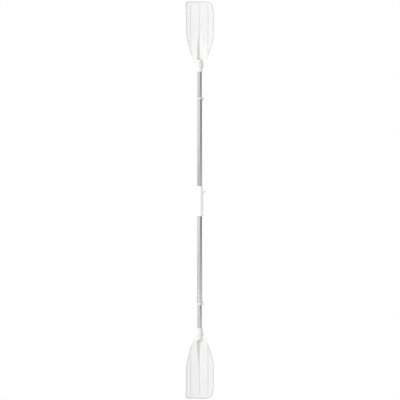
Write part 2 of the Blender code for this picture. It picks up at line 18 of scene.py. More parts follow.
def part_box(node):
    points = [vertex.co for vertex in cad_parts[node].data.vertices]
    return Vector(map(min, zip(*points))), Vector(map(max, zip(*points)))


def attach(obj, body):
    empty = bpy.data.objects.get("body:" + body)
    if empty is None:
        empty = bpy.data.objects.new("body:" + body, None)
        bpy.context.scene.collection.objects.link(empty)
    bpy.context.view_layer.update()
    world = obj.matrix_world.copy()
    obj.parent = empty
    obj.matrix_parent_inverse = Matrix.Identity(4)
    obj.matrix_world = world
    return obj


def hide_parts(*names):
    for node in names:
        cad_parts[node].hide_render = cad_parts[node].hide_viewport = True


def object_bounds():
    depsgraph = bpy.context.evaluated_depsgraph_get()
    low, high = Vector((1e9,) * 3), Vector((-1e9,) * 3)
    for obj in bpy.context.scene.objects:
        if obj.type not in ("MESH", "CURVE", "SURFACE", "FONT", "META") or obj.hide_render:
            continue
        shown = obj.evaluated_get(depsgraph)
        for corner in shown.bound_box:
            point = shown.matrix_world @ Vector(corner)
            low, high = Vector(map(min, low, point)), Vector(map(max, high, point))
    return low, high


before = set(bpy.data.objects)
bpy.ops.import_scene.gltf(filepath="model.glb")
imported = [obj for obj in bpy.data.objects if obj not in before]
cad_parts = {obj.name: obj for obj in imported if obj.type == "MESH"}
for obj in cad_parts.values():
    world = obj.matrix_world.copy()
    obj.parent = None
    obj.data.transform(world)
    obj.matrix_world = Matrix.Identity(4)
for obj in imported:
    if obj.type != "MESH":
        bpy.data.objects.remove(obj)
CAD_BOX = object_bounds()
MM = 0.001


def low(node):
    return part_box(node)[0]


def high(node):
    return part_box(node)[1]


def middle_z(node):
    return (low(node).z + high(node).z) / 2


# Heights and radii from the frame
TIP = high("upper_blade").z
SOCKET_MOUTH = low("upper_blade").z
SOCKET_FLOOR = high("upper_blade_tube").z
BLADE_TUBE_END = low("upper_blade_tube").z
BLADE_TUBE_RADIUS = high("upper_blade_tube").x
GRIP_END = low("upper_grip_tube").z
GRIP_MOUTH = high("upper_grip_tube").z
GRIP_RADIUS = high("upper_grip_tube").x
COLLAR_FOOT = low("upper_collar").z
COLLAR_TOP = high("upper_collar").z
COLLAR_RIM = -low("upper_collar").x
LUG_TIP = high("upper_collar").x
JOINER_HALF = high("joiner_sleeve").z
JOINER_RADIUS = -low("joiner_sleeve").x
EAR_SIDE = high("lever_pin").y
PIVOT_X = (low("lever_pin").x + high("lever_pin").x) / 2
PIVOT_Z = middle_z("lever_pin")
DRAWN_IN = TIP + low("lower_blade").z  # how much less of the lower blade's tube shows

# Blade outline and sheet, as in the CAD
Side = namedtuple("Side", "reach flare taper_from taper_power corner rib")
LEFT = Side(84 * MM, 5 * MM, 175 * MM, 1.6, 18 * MM, 59 * MM)
RIGHT = Side(87 * MM, -10 * MM, 205 * MM, 1.4, 35 * MM, 49 * MM)
SOCKET_BELOW_SHOULDER = 24 * MM
BLADE_LENGTH = TIP - SOCKET_MOUTH - SOCKET_BELOW_SHOULDER
FLARE_RUN = 110 * MM
SHEET_THICKNESS = 2.8 * MM
SCOOP = 16 * MM
CAMBER = 5 * MM
CAMBER_RUN = 0.4
BEAD_HEIGHT = 0.9 * MM  # on each face along the outline
BEAD_WIDTH = 8 * MM
RIB_HEIGHT = 1.3 * MM
RIB_HALF_WIDTH = 5.5 * MM
RIB_FROM_TIP = 19 * MM
TROUGH_LENGTH = 170 * MM
TROUGH_WIDTH = 31 * MM
TROUGH_SPREAD = 0.25  # how it widens along its length: 1 is evenly, 0 all at once
TROUGH_DEPTH = 15 * MM
NECK_RISE = 12 * MM  # how far the sheet lies in front of the shaft's axis by the socket
NECK_RUN = 100 * MM
NECK_WEB = 14 * MM
GROOVE_DEPTH = 1.2 * MM
GROOVE_HALF_WIDTH = 3 * MM
SOCKET_WALL = 6.2 * MM
SOCKET_END_WALL = 9 * MM
SOCKET_START = TIP - SOCKET_FLOOR - SOCKET_END_WALL  # from the tip
SOCKET_STEP = 3 * MM  # the length over which the socket rises out of the trough
SOCKET_LIP = 1.2 * MM
WEB_FILLET = 3 * MM
FIT = 0.3 * MM  # between pieces that touch
SOCKET_RADIUS = BLADE_TUBE_RADIUS + FIT + SOCKET_WALL

# Painted shade on the milky plastic where light has to cross thick plastic, as shares of the
# bead's painted shade
DEPTH_SHADE_ATTRIBUTE = "depth_shade"
RIB_SHADE = 0.45
WALL_SHADE = 0.42  # painted shade in the trough's walls, where they are steepest
SHADE_SPREAD = 1.3  # how much wider than the bead and the ribs the painted shade is
KEEL_SHADE_SPREAD = 2  # the same for the groove

# Blade screw
SCREW_HEAD_HEIGHT = 2.2 * MM
SCREW_HEAD_TOP = 0.8  # the flat top's share of the head's radius
SCREW_HEAD_SIDE = 0.6  # how far down the head its dome reaches
SCREW_RADIUS = 1.75 * MM
SCREW_CROSS_LENGTH = 0.62  # an arm's share of the head's radius
SCREW_CROSS_WIDTH = 0.9 * MM
SCREW_CROSS_DEPTH = 1.1 * MM

# Collar
COLLAR_WALL = 1.7 * MM
FLANGE_THICKNESS = 5 * MM
COLLAR_LIP = 2.2 * MM
LUG_WIDTH = 12 * MM
LUG_LENGTH = 8 * MM
LUG_EDGE = 0.3 * MM
LUG_BELOW_TOP = 0.2 * MM
LUG_TIP_HEIGHT = 1.6 * MM
LUG_TIP_SLANT = 0.6 * MM

# Tubes and snap buttons
GRIP_WALL = 1.25 * MM
BLADE_TUBE_WALL = 1.2 * MM
TUBE_EDGE = 0.35 * MM
BUTTON_RADIUS = 4.2 * MM
BUTTON_FLANGE_RADIUS = 5.6 * MM
BUTTON_FLANGE_THICKNESS = 1.2 * MM
BUTTON_DOME = 2 * MM

# Joiner and lever
JOINER_BORE = GRIP_RADIUS + FIT
JOINER_TAPER = 9 * MM
JOINER_MOUTH_WALL = 1.6 * MM
STOP_WEB = 3 * MM
STOP_WEB_HOLE = 20 * MM
EAR_MARGIN = 8.4 * MM
EAR_EDGE = 2.2 * MM
EAR_ARC = (45, -80, 20)  # degrees from and to, and steps
RAMP_TOP_FROM_MOUTH = 7 * MM
RAMP_SINK = 2.4 * MM
LEVER_GROOVE_DEPTH = 2.4 * MM
LEVER_GRIP = 63 * MM
LEVER_THICKNESS = 3.6 * MM
LEVER_END_LIFT = 4.8 * MM
LEVER_NECK = 12 * MM
LEVER_EDGE = 0.8 * MM
CAM_RADIUS = 6.7 * MM
CAM_OFFSET = 1.5 * MM
CAM_ANGLE = radians(210)
CAM_ARC = (-40, 215, 40)  # degrees from and to, and steps
GRIP_RIDGES = 6
RIDGE_HEIGHT = 0.7 * MM
RIDGE_PITCH = 4.4 * MM
RIDGE_STEPS = 7
RIDGES_START = 0.6  # pitches from the lever's end
PIN_HEAD_HEIGHT = 1.2 * MM
PIN_HEAD_TOP = 0.6  # the flat top's share of the head's radius
PIN_HEAD_SIDE = 0.6  # how far down the head its dome reaches
PIN_RADIUS = 2 * MM

# How finely shapes are divided
TUBE_SIDES = 96
SMALL_SIDES = 40
SMOOTH_ANGLE = radians(38)
CUT_PAST = 2 * MM


# Meshes


def new_object(name, mesh):
    piece = bpy.data.objects.new(name, mesh)
    bpy.context.scene.collection.objects.link(piece)
    return piece


def mesh_piece(name, shape):
    """An object made from a bmesh, with its faces turned outwards."""
    bmesh.ops.recalc_face_normals(shape, faces=shape.faces)
    mesh = bpy.data.meshes.new(name)
    shape.to_mesh(mesh)
    shape.free()
    return new_object(name, mesh)


def join_rings(shape, near, far):
    """Faces between two rings of points, where either ring may be one point."""
    count = max(len(near), len(far))
    for i in range(count):
        j = (i + 1) % count
        corners = [near[i % len(near)], near[j % len(near)], far[j % len(far)], far[i % len(far)]]
        shape.faces.new(dict.fromkeys(corners))


def turned(name, profile, sides=TUBE_SIDES, closed=False, placed=Matrix()):
    """A turned piece. The profile's (radius, height) points start and end on the axis, or go
    all the way round the wall of a hollow piece where it is closed."""
    shape = bmesh.new()
    rings = []
    for radius, height in profile:
        turns = [2 * pi * i / sides for i in range(sides if radius else 1)]
        points = [placed @ Vector((radius * cos(a), radius * sin(a), height)) for a in turns]
        rings.append([shape.verts.new(point) for point in points])
    for near, far in zip(rings, rings[1:] + rings[:1] if closed else rings[1:]):
        join_rings(shape, near, far)
    return mesh_piece(name, shape)


def rounded(corners, steps=4):
    """A profile with its corners rounded. Each corner is (radius, height, how much to round)."""
    points = []
    for i, (x, z, soft) in enumerate(corners):
        corner = Vector((x, z))
        if not soft:
            points.append(corner)
            continue
        before = (Vector(corners[i - 1][:2]) - corner).normalized() * soft
        after = (Vector(corners[(i + 1) % len(corners)][:2]) - corner).normalized() * soft
        for step in range(steps + 1):
            share = step / steps
            points.append(corner + before * (1 - share) ** 2 + after * share**2)
    return [tuple(point) for point in points]


def prism(name, outline, width, soft, segments=3):
    """An outline of (x, z) points, width thick along Y, with its sharp edges rounded."""
    shape = bmesh.new()
    face = shape.faces.new([shape.verts.new((x, -width / 2, z)) for x, z in outline])
    pushed = bmesh.ops.extrude_face_region(shape, geom=[face])["geom"]
    moved = [item for item in pushed if isinstance(item, bmesh.types.BMVert)]
    bmesh.ops.translate(shape, verts=moved, vec=(0, width, 0))
    bmesh.ops.recalc_face_normals(shape, faces=shape.faces)
    if soft:
        sharp = [edge for edge in shape.edges if edge.calc_face_angle() > SMOOTH_ANGLE]
        bmesh.ops.bevel(
            shape,
            geom=sharp,
            offset=soft,
            segments=segments,
            profile=0.5,
            affect="EDGES",
            clamp_overlap=True,
        )
    return mesh_piece(name, shape)


def rod(name, radius, start, end, sides=SMALL_SIDES):
    """A round cutter between two points."""
    start, end = Vector(start), Vector(end)
    along = end - start
    placed = Matrix.Translation(start) @ along.to_track_quat("Z", "Y").to_matrix().to_4x4()
    profile = [(0, 0), (radius, 0), (radius, along.length), (0, along.length)]
    return turned(name, profile, sides, placed=placed)


def boolean(piece, operation, *tools):
    """Joins the tools to a piece or cuts them from it, and removes them."""
    for tool in tools:
        step = piece.modifiers.new(tool.name, "BOOLEAN")
        step.operation = operation
        step.object = tool
        step.solver = "EXACT"
    graph = bpy.context.evaluated_depsgraph_get()
    piece.data = bpy.data.meshes.new_from_object(piece.evaluated_get(graph))
    piece.modifiers.clear()
    for tool in tools:
        bpy.data.objects.remove(tool)


def arc(centre, radius, first, last, steps):
    """Points along part of a circle, between two angles in degrees."""
    turns = [radians(first + (last - first) * i / steps) for i in range(steps + 1)]
    return [(centre[0] + radius * cos(a), centre[1] + radius * sin(a)) for a in turns]


def finish_piece(piece, end, body, material, slot, *nodes):
    """Smooths a piece, turns it over where its end is lower, and puts it on its body in place
    of the CAD's nodes."""
    if end == "lower":
        piece.data.transform(Matrix.Diagonal((1, 1, -1, 1)))
        piece.data.flip_normals()
    if body == "lower_blade_section":
        piece.data.transform(Matrix.Translation((0, 0, DRAWN_IN)))
    piece.data.shade_smooth()
    piece.data.set_sharp_from_angle(angle=SMOOTH_ANGLE)
    piece.data.materials.clear()
    piece.data.materials.append(material)
    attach(piece, body)
    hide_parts(*nodes)


# Blade


def ramp(value, start, length):
    """The share of a run, from 0 to 1, that a value has covered."""
    return min(1, max(0, (value - start) / length))


def smooth_ramp(value, start, length):
    """The same, eased in and out."""
    share = ramp(value, start, length)
    return share * share * (3 - 2 * share)


def bump(distance, half_width):
    """A rounded ridge, 1 in its middle and 0 beyond its half width."""
    return cos(pi / 2 * min(1, abs(distance) / half_width)) ** 2


def larger(a, b, blend):
    """The larger of two heights, with a fillet where they cross."""
    near = max(0, blend - abs(a - b)) / blend if blend else 0
    return max(a, b) + near * near * blend / 4


def side_reach(side, from_tip):
    """How far the blade's long edge is from the shaft's axis, before the tip's corner is cut."""
    flare = side.flare * max(0, 1 - from_tip / FLARE_RUN) ** 2
    taper = ramp(from_tip, side.taper_from, BLADE_LENGTH - side.taper_from)
    return side.reach + flare - (side.reach - SOCKET_RADIUS) * taper**side.taper_power


def edge_reach(side, from_tip):
    """How far the outline is from the shaft's axis."""
    cut = side.corner - from_tip
    missing = side.corner - sqrt(side.corner**2 - cut**2) if cut > 0 else 0
    return side_reach(side, from_tip) - missing


def edge_distance(side, x, from_tip):
    """How far a point is inside the blade's outline."""
    across = side_reach(side, from_tip) - abs(x)
    if max(across, from_tip) < side.corner:
        return side.corner - hypot(side.corner - across, side.corner - from_tip)
    return min(across, from_tip)


def sheet_height(x, from_tip):
    """How far the middle of the blade's sheet lies towards the power face."""
    up_blade = max(0, 1 - from_tip / BLADE_LENGTH)
    height = SCOOP * up_blade**2 + CAMBER * (x / LEFT.reach) ** 2 * ramp(up_blade, 0, CAMBER_RUN)
    side = LEFT if x < 0 else RIGHT
    reach = edge_reach(side, from_tip)
    web = ramp(reach - SOCKET_RADIUS, 0, NECK_WEB)
    height += NECK_RISE * web * smooth_ramp(from_tip, SOCKET_START - NECK_RUN, NECK_RUN)
    room = smooth_ramp(reach - side.rib, 0, 2 * RIB_HALF_WIDTH)
    started = smooth_ramp(from_tip, RIB_FROM_TIP, RIB_FROM_TIP / 2)
    height += RIB_HEIGHT * bump(abs(x) - side.rib, RIB_HALF_WIDTH) * room * started
    height -= GROOVE_DEPTH * bump(x, GROOVE_HALF_WIDTH) * started
    along = ramp(from_tip, SOCKET_START - TROUGH_LENGTH, TROUGH_LENGTH)
    if along:
        across = min(1, abs(x) / (along**TROUGH_SPREAD * TROUGH_WIDTH / 2))
        height -= TROUGH_DEPTH * along * (1 - across**2)
    return height


def blade_faces(x, from_tip):
    """How far the blade's two faces lie towards the power face at a point."""
    side = LEFT if x < 0 else RIGHT
    from_edge = edge_distance(side, x, from_tip)
    half = SHEET_THICKNESS / 2 + BEAD_HEIGHT * bump(from_edge, BEAD_WIDTH)
    half *= sqrt(1 - (1 - ramp(from_edge, 0, half)) ** 2)
    height = sheet_height(x, from_tip)
    front, back = height + half, height - half
    grown = smooth_ramp(from_tip, SOCKET_START - SOCKET_STEP, SOCKET_STEP)
    if grown:
        off_axis = min(abs(x), SOCKET_RADIUS)
        socket = sqrt(SOCKET_RADIUS**2 - off_axis**2) - (abs(x) - off_axis)
        web = ramp(edge_reach(side, from_tip) - SOCKET_RADIUS, 0, 2 * WEB_FILLET)
        front += grown * (larger(front, socket, WEB_FILLET * web) - front)
        back -= grown * (larger(-back, socket, WEB_FILLET * web) + back)
    return front, back


def steepness(x, from_tip):
    """How steep the trough's walls are at a point, up to 1."""
    step = GROOVE_HALF_WIDTH / 2
    rise = sheet_height(x + step, from_tip) - sheet_height(x - step, from_tip)
    return min(1, abs(rise) / (2 * step)) if abs(x) < TROUGH_WIDTH / 2 + step else 0


def depth_shade_at(x, from_tip):
    """How much painted shade a point gets for the plastic that light has to cross there, from 0 in
    the plain sheet to 1: more in the bead along the outline, the ribs, the groove's keel and the
    trough's steep walls."""
    side = LEFT if x < 0 else RIGHT
    started = smooth_ramp(from_tip, RIB_FROM_TIP, RIB_FROM_TIP / 2)
    room = smooth_ramp(edge_reach(side, from_tip) - side.rib, 0, 2 * RIB_HALF_WIDTH)
    beaded = 1 - smooth_ramp(from_tip, SOCKET_START - NECK_RUN / 2, BLADE_LENGTH - SOCKET_START)
    shades = [
        beaded * bump(edge_distance(side, x, from_tip), SHADE_SPREAD * BEAD_WIDTH),
        RIB_SHADE * bump(abs(x) - side.rib, SHADE_SPREAD * RIB_HALF_WIDTH) * room * started,
        RIB_SHADE * bump(x, KEEL_SHADE_SPREAD * GROOVE_HALF_WIDTH) * started,
        WALL_SHADE * steepness(x, from_tip),
    ]
    return max(shades)


def spaced(first, last, count):
    """Even steps that leave out the first value."""
    return [first + (last - first) * (i + 1) / count for i in range(count)]


def sheet_lines(side):
    """Distances from the axis of the lines along which the blade is meshed on one side. They
    follow the groove, the trough and socket, and the rib."""
    lines = [0, *spaced(0, GROOVE_HALF_WIDTH, 4)]
    first = asin(GROOVE_HALF_WIDTH / SOCKET_RADIUS)
    lines += [SOCKET_RADIUS * sin(a) for a in spaced(first, pi / 2, 10)]
    lines += spaced(SOCKET_RADIUS, SOCKET_RADIUS + WEB_FILLET, 3)
    lines += spaced(lines[-1], side.rib - RIB_HALF_WIDTH, 3)
    lines += spaced(lines[-1], side.rib + RIB_HALF_WIDTH, 12)
    return lines


def blade_row(side, from_tip):
    """The meshed lines' distances from the axis at one distance from the tip. Where the blade
    is wide they run straight, and where it is narrow they draw in with its edge. At the socket
    they spread evenly round it."""
    lines = sheet_lines(side)
    reach = edge_reach(side, from_tip)
    held = lines[-1] + 2 * RIB_HALF_WIDTH
    if reach < held:
        shrink = max(0, reach - SOCKET_RADIUS) / (held - SOCKET_RADIUS)
        lines = [min(x, SOCKET_RADIUS + max(0, x - SOCKET_RADIUS) * shrink) for x in lines]
    edge_band = min(BEAD_WIDTH, (reach - lines[-1]) / 2)
    lines += spaced(lines[-1], reach - edge_band, 3)
    lines += [reach - edge_band * (1 - sin(a)) for a in spaced(0, pi / 2, 9)]
    even = smooth_ramp(from_tip, SOCKET_START, BLADE_LENGTH - SOCKET_START)
    last = len(lines) - 1
    return [x + even * (reach * sin(pi / 2 * i / last) - x) for i, x in enumerate(lines)]


def blade_rows():
    """The distances from the tip at which the blade is meshed, down to the socket's lip."""
    half = SHEET_THICKNESS / 2 + BEAD_HEIGHT
    corner = max(LEFT.corner, RIGHT.corner)
    rows = [half * (1 - cos(a)) for a in [0, *spaced(0, pi / 2, 5)]]
    first = asin(sqrt(half / corner))
    rows += [corner * sin(a) ** 2 for a in spaced(first, pi / 2, 20)]
    rows += spaced(corner, SOCKET_START - SOCKET_STEP, 50)
    rows += spaced(rows[-1], SOCKET_START, 8)
    rows += spaced(SOCKET_START, BLADE_LENGTH, 16)
    rows += spaced(BLADE_LENGTH, TIP - SOCKET_MOUTH - SOCKET_LIP, 4)
    return rows


def make_blade(end):
    """The moulded blade in one skin: both faces of the sheet, the socket, its lip and its bore."""
    shape = bmesh.new()
    rings = []
    for from_tip in blade_rows():
        left = [-x for x in reversed(blade_row(LEFT, from_tip))]
        across = left + blade_row(RIGHT, from_tip)[1:]
        z = TIP - from_tip
        faces = [blade_faces(x, from_tip) for x in across]
        front = [shape.verts.new((x, -y, z)) for x, (y, _) in zip(across, faces)]
        if rings:
            inner = zip(across[1:-1], faces[1:-1])
            back = [front[0], *[shape.verts.new((x, -y, z)) for x, (_, y) in inner], front[-1]]
        else:
            back = front
        rings.append((front, back))
    for (front, back), (next_front, next_back) in zip(rings, rings[1:]):
        for near, far in ((front, next_front), (back, next_back)):
            for i in range(len(near) - 1):
                shape.faces.new((near[i], near[i + 1], far[i + 1], far[i]))
    front, back = rings[-1]
    ring = front + back[-2:0:-1]
    bore = BLADE_TUBE_RADIUS + FIT
    lip = [(SOCKET_RADIUS, SOCKET_MOUTH, SOCKET_LIP), (bore, SOCKET_MOUTH, SOCKET_LIP / 2)]
    profile = rounded([(SOCKET_RADIUS, TIP, 0), *lip, (bore, SOCKET_FLOOR + FIT, 0)])[2:]
    for radius, z in profile:
        inner = []
        for vert in ring:
            out = Vector((vert.co.x, vert.co.y, 0)).normalized() * radius
            inner.append(shape.verts.new((out.x, out.y, z)))
        join_rings(shape, ring, inner)
        ring = inner
    join_rings(shape, ring, [shape.verts.new((0, 0, SOCKET_FLOOR + FIT))])
    blade = mesh_piece(f"{end}_blade_shell", shape)
    screw = middle_z("upper_blade_screw")
    head = high("upper_blade_screw")
    radius = (high("upper_blade_screw").x - low("upper_blade_screw").x) / 2 + 2 * FIT
    under = head.y - SCREW_HEAD_HEIGHT - FIT
    seat = rod("screw_seat", radius, (0, under, screw), (0, head.y + CUT_PAST, screw))
    boolean(blade, "DIFFERENCE", seat)
    # Painted shade where light crosses thick plastic, kept on the mesh for the blade's material
    depth_shade = blade.data.attributes.new(DEPTH_SHADE_ATTRIBUTE, "FLOAT", "POINT")
    for vert, value in zip(blade.data.vertices, depth_shade.data):
        value.value = depth_shade_at(vert.co.x, TIP - vert.co.z)
    finish_piece(
        blade, end, f"{end}_blade_section", BLADE_PLASTIC, "blade_plastic", f"{end}_blade"
    )


def make_blade_screw(end):
    """A pan-headed screw with a crossed recess, on the back of the socket."""
    least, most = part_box("upper_blade_screw")
    z, radius = middle_z("upper_blade_screw"), (most.x - least.x) / 2
    under = most.y - SCREW_HEAD_HEIGHT
    corners = [
        (0, most.y, 0),
        (radius * SCREW_HEAD_TOP, most.y, 0.9 * MM),
        (radius, most.y - SCREW_HEAD_HEIGHT * SCREW_HEAD_SIDE, 0.5 * MM),
        (radius, under, 0.15 * MM),
        (SCREW_RADIUS, under, 0),
        (SCREW_RADIUS, least.y + SCREW_RADIUS, 0),
        (0, least.y, 0),
    ]
    placed = Matrix.Translation((0, 0, z)) @ Matrix.Rotation(-pi / 2, 4, "X")
    screw = turned(f"{end}_socket_screw", rounded(corners), SMALL_SIDES, placed=placed)
    long, wide = radius * SCREW_CROSS_LENGTH, SCREW_CROSS_WIDTH / 2
    cross = [(long, wide), (wide, wide), (wide, long), (-wide, long), (-wide, wide), (-long, wide)]
    cross += [(-x, -y) for x, y in cross]
    recess = prism("cross", cross, 2 * SCREW_CROSS_DEPTH, 0)
    recess.data.transform(Matrix.Translation((0, most.y, z)))
    boolean(screw, "DIFFERENCE", recess)
    finish_piece(
        screw, end, f"{end}_blade_section", STEEL, "bright_steel", f"{end}_blade_screw"
    )


# Tubes, collars and buttons


def button_hole(z, outer):
    """A cutter for a snap button's hole through one side of a tube or sleeve."""
    return rod("button_hole", BUTTON_RADIUS + FIT, (0, 0, z), (outer + CUT_PAST, 0, z))


def make_tube(end, kind, radius, wall, bottom, top, body):
    """A drawn tube with broken edges, and the snap button's hole through one side."""
    corners = [
        (radius, top, TUBE_EDGE),
        (radius, bottom, TUBE_EDGE),
        (radius - wall, bottom, TUBE_EDGE),
        (radius - wall, top, TUBE_EDGE),
    ]
    tube = turned(f"{end}_{kind}_shell", rounded(corners), closed=True)
    heights = [middle_z("upper_snap_button")]
    if (end, kind) == ("lower", "blade_tube"):
        heights = [heights[0] + DRAWN_IN]
    if (end, kind) == ("lower", "grip_tube"):
        heights.append(-middle_z("joiner_button"))
    for z in heights:
        boolean(tube, "DIFFERENCE", button_hole(z, GRIP_RADIUS))
    finish_piece(tube, end, body, ALUMINIUM, "tube_aluminium", f"{end}_{kind}")


def make_collar(end, body):
    """The flanged collar, with its lug over the snap button's side."""
    bore, lip = GRIP_RADIUS + FIT, BLADE_TUBE_RADIUS + FIT
    hub, under = bore + COLLAR_WALL, COLLAR_TOP - FLANGE_THICKNESS
    corners = [
        (COLLAR_RIM, COLLAR_TOP, 1.6 * MM),
        (COLLAR_RIM, under, 1.2 * MM),
        (hub, under, 1.0 * MM),
        (hub, COLLAR_FOOT, 0.6 * MM),
        (bore, COLLAR_FOOT, 0.3 * MM),
        (bore, COLLAR_TOP - COLLAR_LIP, 0),
        (lip, COLLAR_TOP - COLLAR_LIP, 0),
        (lip, COLLAR_TOP, 0.5 * MM),
    ]
    collar = turned(f"{end}_collar_moulding", rounded(corners), closed=True)
    root, foot = hub - COLLAR_WALL / 2, COLLAR_TOP - LUG_LENGTH
    outline = rounded(
        [
            (root, COLLAR_TOP - LUG_BELOW_TOP, 0),
            (COLLAR_RIM, COLLAR_TOP - LUG_BELOW_TOP, 2.4 * MM),
            (LUG_TIP, foot + LUG_TIP_HEIGHT, 1.0 * MM),
            (LUG_TIP - LUG_TIP_SLANT, foot, 0.5 * MM),
            (root, foot, 0),
        ]
    )
    boolean(collar, "UNION", prism("lug", outline, LUG_WIDTH, LUG_EDGE))
    finish_piece(collar, end, body, COLLAR_PLASTIC, "white_plastic", f"{end}_collar")


def make_button(end, node, body):
    """A pressed steel snap button with a rolled dome."""
    least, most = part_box(node)
    flange = least.x + BUTTON_FLANGE_THICKNESS
    turns = [pi / 2 * i / 8 for i in range(9)]
    dome = [
        (BUTTON_RADIUS * sin(turn), most.x - BUTTON_DOME * (1 - cos(turn))) for turn in turns
    ]
    skirt = [
        (BUTTON_RADIUS, flange, 0),
        (BUTTON_FLANGE_RADIUS, flange, 0.4 * MM),
        (BUTTON_FLANGE_RADIUS, least.x, 0.4 * MM),
        (0, least.x, 0),
    ]
    upright = Matrix.Rotation(pi / 2, 4, "Y")
    placed = Matrix.Translation((0, 0, middle_z(node))) @ upright
    button = turned(f"{node}_cap", dome + rounded(skirt), SMALL_SIDES, placed=placed)
    finish_piece(button, end, body, STEEL, "bright_steel", node)


# Joiner and lever


def make_joiner():
    """The moulded sleeve, with the ramp and ears that carry the lever, and its groove."""
    half, outer, bore = JOINER_HALF, JOINER_RADIUS, JOINER_BORE
    mouth, web, hole = bore + JOINER_MOUTH_WALL, STOP_WEB / 2, STOP_WEB_HOLE / 2
    corners = [
        (mouth, half, 0.6 * MM),
        (outer, half - JOINER_TAPER, 3 * MM),
        (outer, -half, 1.6 * MM),
        (bore, -half, 0.5 * MM),
        (bore, -web, 0),
        (hole, -web, 0.4 * MM),
        (hole, web, 0.4 * MM),
        (bore, web, 0),
        (bore, half, 0.5 * MM),
    ]
    sleeve = turned("joiner_sleeve_moulding", rounded(corners), closed=True)
    ear_width = 2 * (EAR_SIDE - PIN_HEAD_HEIGHT - FIT)
    ramp_top, sunk = half - RAMP_TOP_FROM_MOUTH, (outer + bore) / 2
    foot = PIVOT_Z - EAR_MARGIN - FIT
    outline = [(sunk, ramp_top - RAMP_SINK), (outer, ramp_top)]
    outline += arc((PIVOT_X, PIVOT_Z), EAR_MARGIN, *EAR_ARC)
    outline += [(outer, foot), (sunk, foot)]
    boolean(sleeve, "UNION", prism("ears", outline, ear_width, EAR_EDGE))
    lever_low, lever_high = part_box("clamp_lever")
    slot = lever_high.y + FIT
    pad_low, pad_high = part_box("pressure_pad")
    groove = outer - LEVER_GROOVE_DEPTH
    lever_slot = box_cutter(
        (outer, -slot, foot - CUT_PAST),
        (high("joiner_sleeve").x + CUT_PAST, slot, PIVOT_Z + EAR_MARGIN + FIT),
    )
    window = box_cutter(
        (bore / 2, pad_low.y - FIT, pad_low.z - FIT),
        (outer + CUT_PAST, pad_high.y + FIT, pad_high.z + FIT),
    )
    lever_groove = box_cutter(
        (groove, -slot, lever_low.z - CUT_PAST), (high("joiner_sleeve").x, slot, pad_low.z)
    )
    button = button_hole(middle_z("joiner_button"), outer)
    boolean(sleeve, "DIFFERENCE", lever_slot, window, lever_groove, button)
    finish_piece(sleeve, "joiner", "joiner", WHITE_PLASTIC, "white_plastic", "joiner_sleeve")


def box_cutter(least, most):
    shape = bmesh.new()
    least, most = Vector(least), Vector(most)
    size = Matrix.Diagonal((*(most - least), 1))
    bmesh.ops.create_cube(shape, size=1, matrix=Matrix.Translation((least + most) / 2) @ size)
    return mesh_piece("cutter", shape)


def make_lever():
    """The cam lever, with finger ridges towards its tip, and the domed pin it turns on."""
    least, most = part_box("clamp_lever")
    inner, end = JOINER_RADIUS - LEVER_GROOVE_DEPTH + FIT, least.z
    bend, neck = end + LEVER_GRIP, PIVOT_Z - LEVER_NECK
    outer = inner + LEVER_THICKNESS
    lift = LEVER_END_LIFT / LEVER_GRIP
    outline = [(inner, neck), (inner, bend), (inner + LEVER_END_LIFT, end)]
    outline.append((outer + LEVER_END_LIFT, end))
    for ridge in range(GRIP_RIDGES):
        for step in range(RIDGE_STEPS):
            z = end + RIDGE_PITCH * (ridge + RIDGES_START + step / RIDGE_STEPS)
            rise = RIDGE_HEIGHT * (sin(pi * step / RIDGE_STEPS) - 1)
            outline.append((outer + lift * (bend - z) + rise, z))
    outline += [(outer, bend), (outer, neck - 2 * LEVER_THICKNESS)]
    cam = (PIVOT_X + CAM_OFFSET * cos(CAM_ANGLE), PIVOT_Z + CAM_OFFSET * sin(CAM_ANGLE))
    outline += arc(cam, CAM_RADIUS, *CAM_ARC)
    lever = prism("clamp_lever_moulding", outline, most.y - least.y, LEVER_EDGE)
    finish_piece(lever, "joiner", "clamp_lever", WHITE_PLASTIC, "white_plastic", "clamp_lever")
    radius = high("lever_pin").x - PIVOT_X
    shoulder, top = EAR_SIDE - PIN_HEAD_HEIGHT, EAR_SIDE
    half = [
        (0, top, 0),
        (radius * PIN_HEAD_TOP, top, 0.4 * MM),
        (radius, top - PIN_HEAD_HEIGHT * PIN_HEAD_SIDE, 0.3 * MM),
        (radius, shoulder, 0),
        (PIN_RADIUS, shoulder, 0),
    ]
    corners = half + [(r, -y, soft) for r, y, soft in reversed(half)]
    placed = Matrix.Translation((PIVOT_X, 0, PIVOT_Z)) @ Matrix.Rotation(pi / 2, 4, "X")
    pin = turned("lever_rivet", rounded(corners), SMALL_SIDES, placed=placed)
    finish_piece(pin, "joiner", "joiner", STEEL, "bright_steel", "lever_pin")


# Materials

MILKY, MILKY_LIGHT = (0.81, 0.812, 0.808), (0.845, 0.847, 0.843)
WARM_BY_SOCKET = (0.97, 0.97, 0.925)
WARM_SHARE = 0.5
# Colour of the painted shade where light crosses thick plastic
THICK_SHADE = (0.61, 0.613, 0.605)

def new_material(name):
    material = bpy.data.materials.new(name)
    material.use_nodes = True
    return material, material.node_tree.nodes["Principled BSDF"]


def add_node(owner, kind, inputs=None, **settings):
    """A node of a material or world with its settings, and its inputs given as values or as
    sockets to link."""
    tree = owner.node_tree
    node = tree.nodes.new(kind)
    for key, value in settings.items():
        setattr(node, key, value)
    for key, value in (inputs or {}).items():
        if isinstance(value, bpy.types.NodeSocket):
            tree.links.new(value, node.inputs[key])
        else:
            node.inputs[key].default_value = value
    return node


def stretched_noise(material, scale, size, detail=3.0):
    """Noise in the piece's own coordinates, with its scale along each axis."""
    place = add_node(material, "ShaderNodeTexCoord").outputs["Object"]
    mapped = add_node(material, "ShaderNodeMapping", {"Vector": place, "Scale": scale})
    noise = add_node(
        material,
        "ShaderNodeTexNoise",
        {"Vector": mapped.outputs["Vector"], "Scale": size, "Detail": detail},
    )
    return noise.outputs["Fac"]


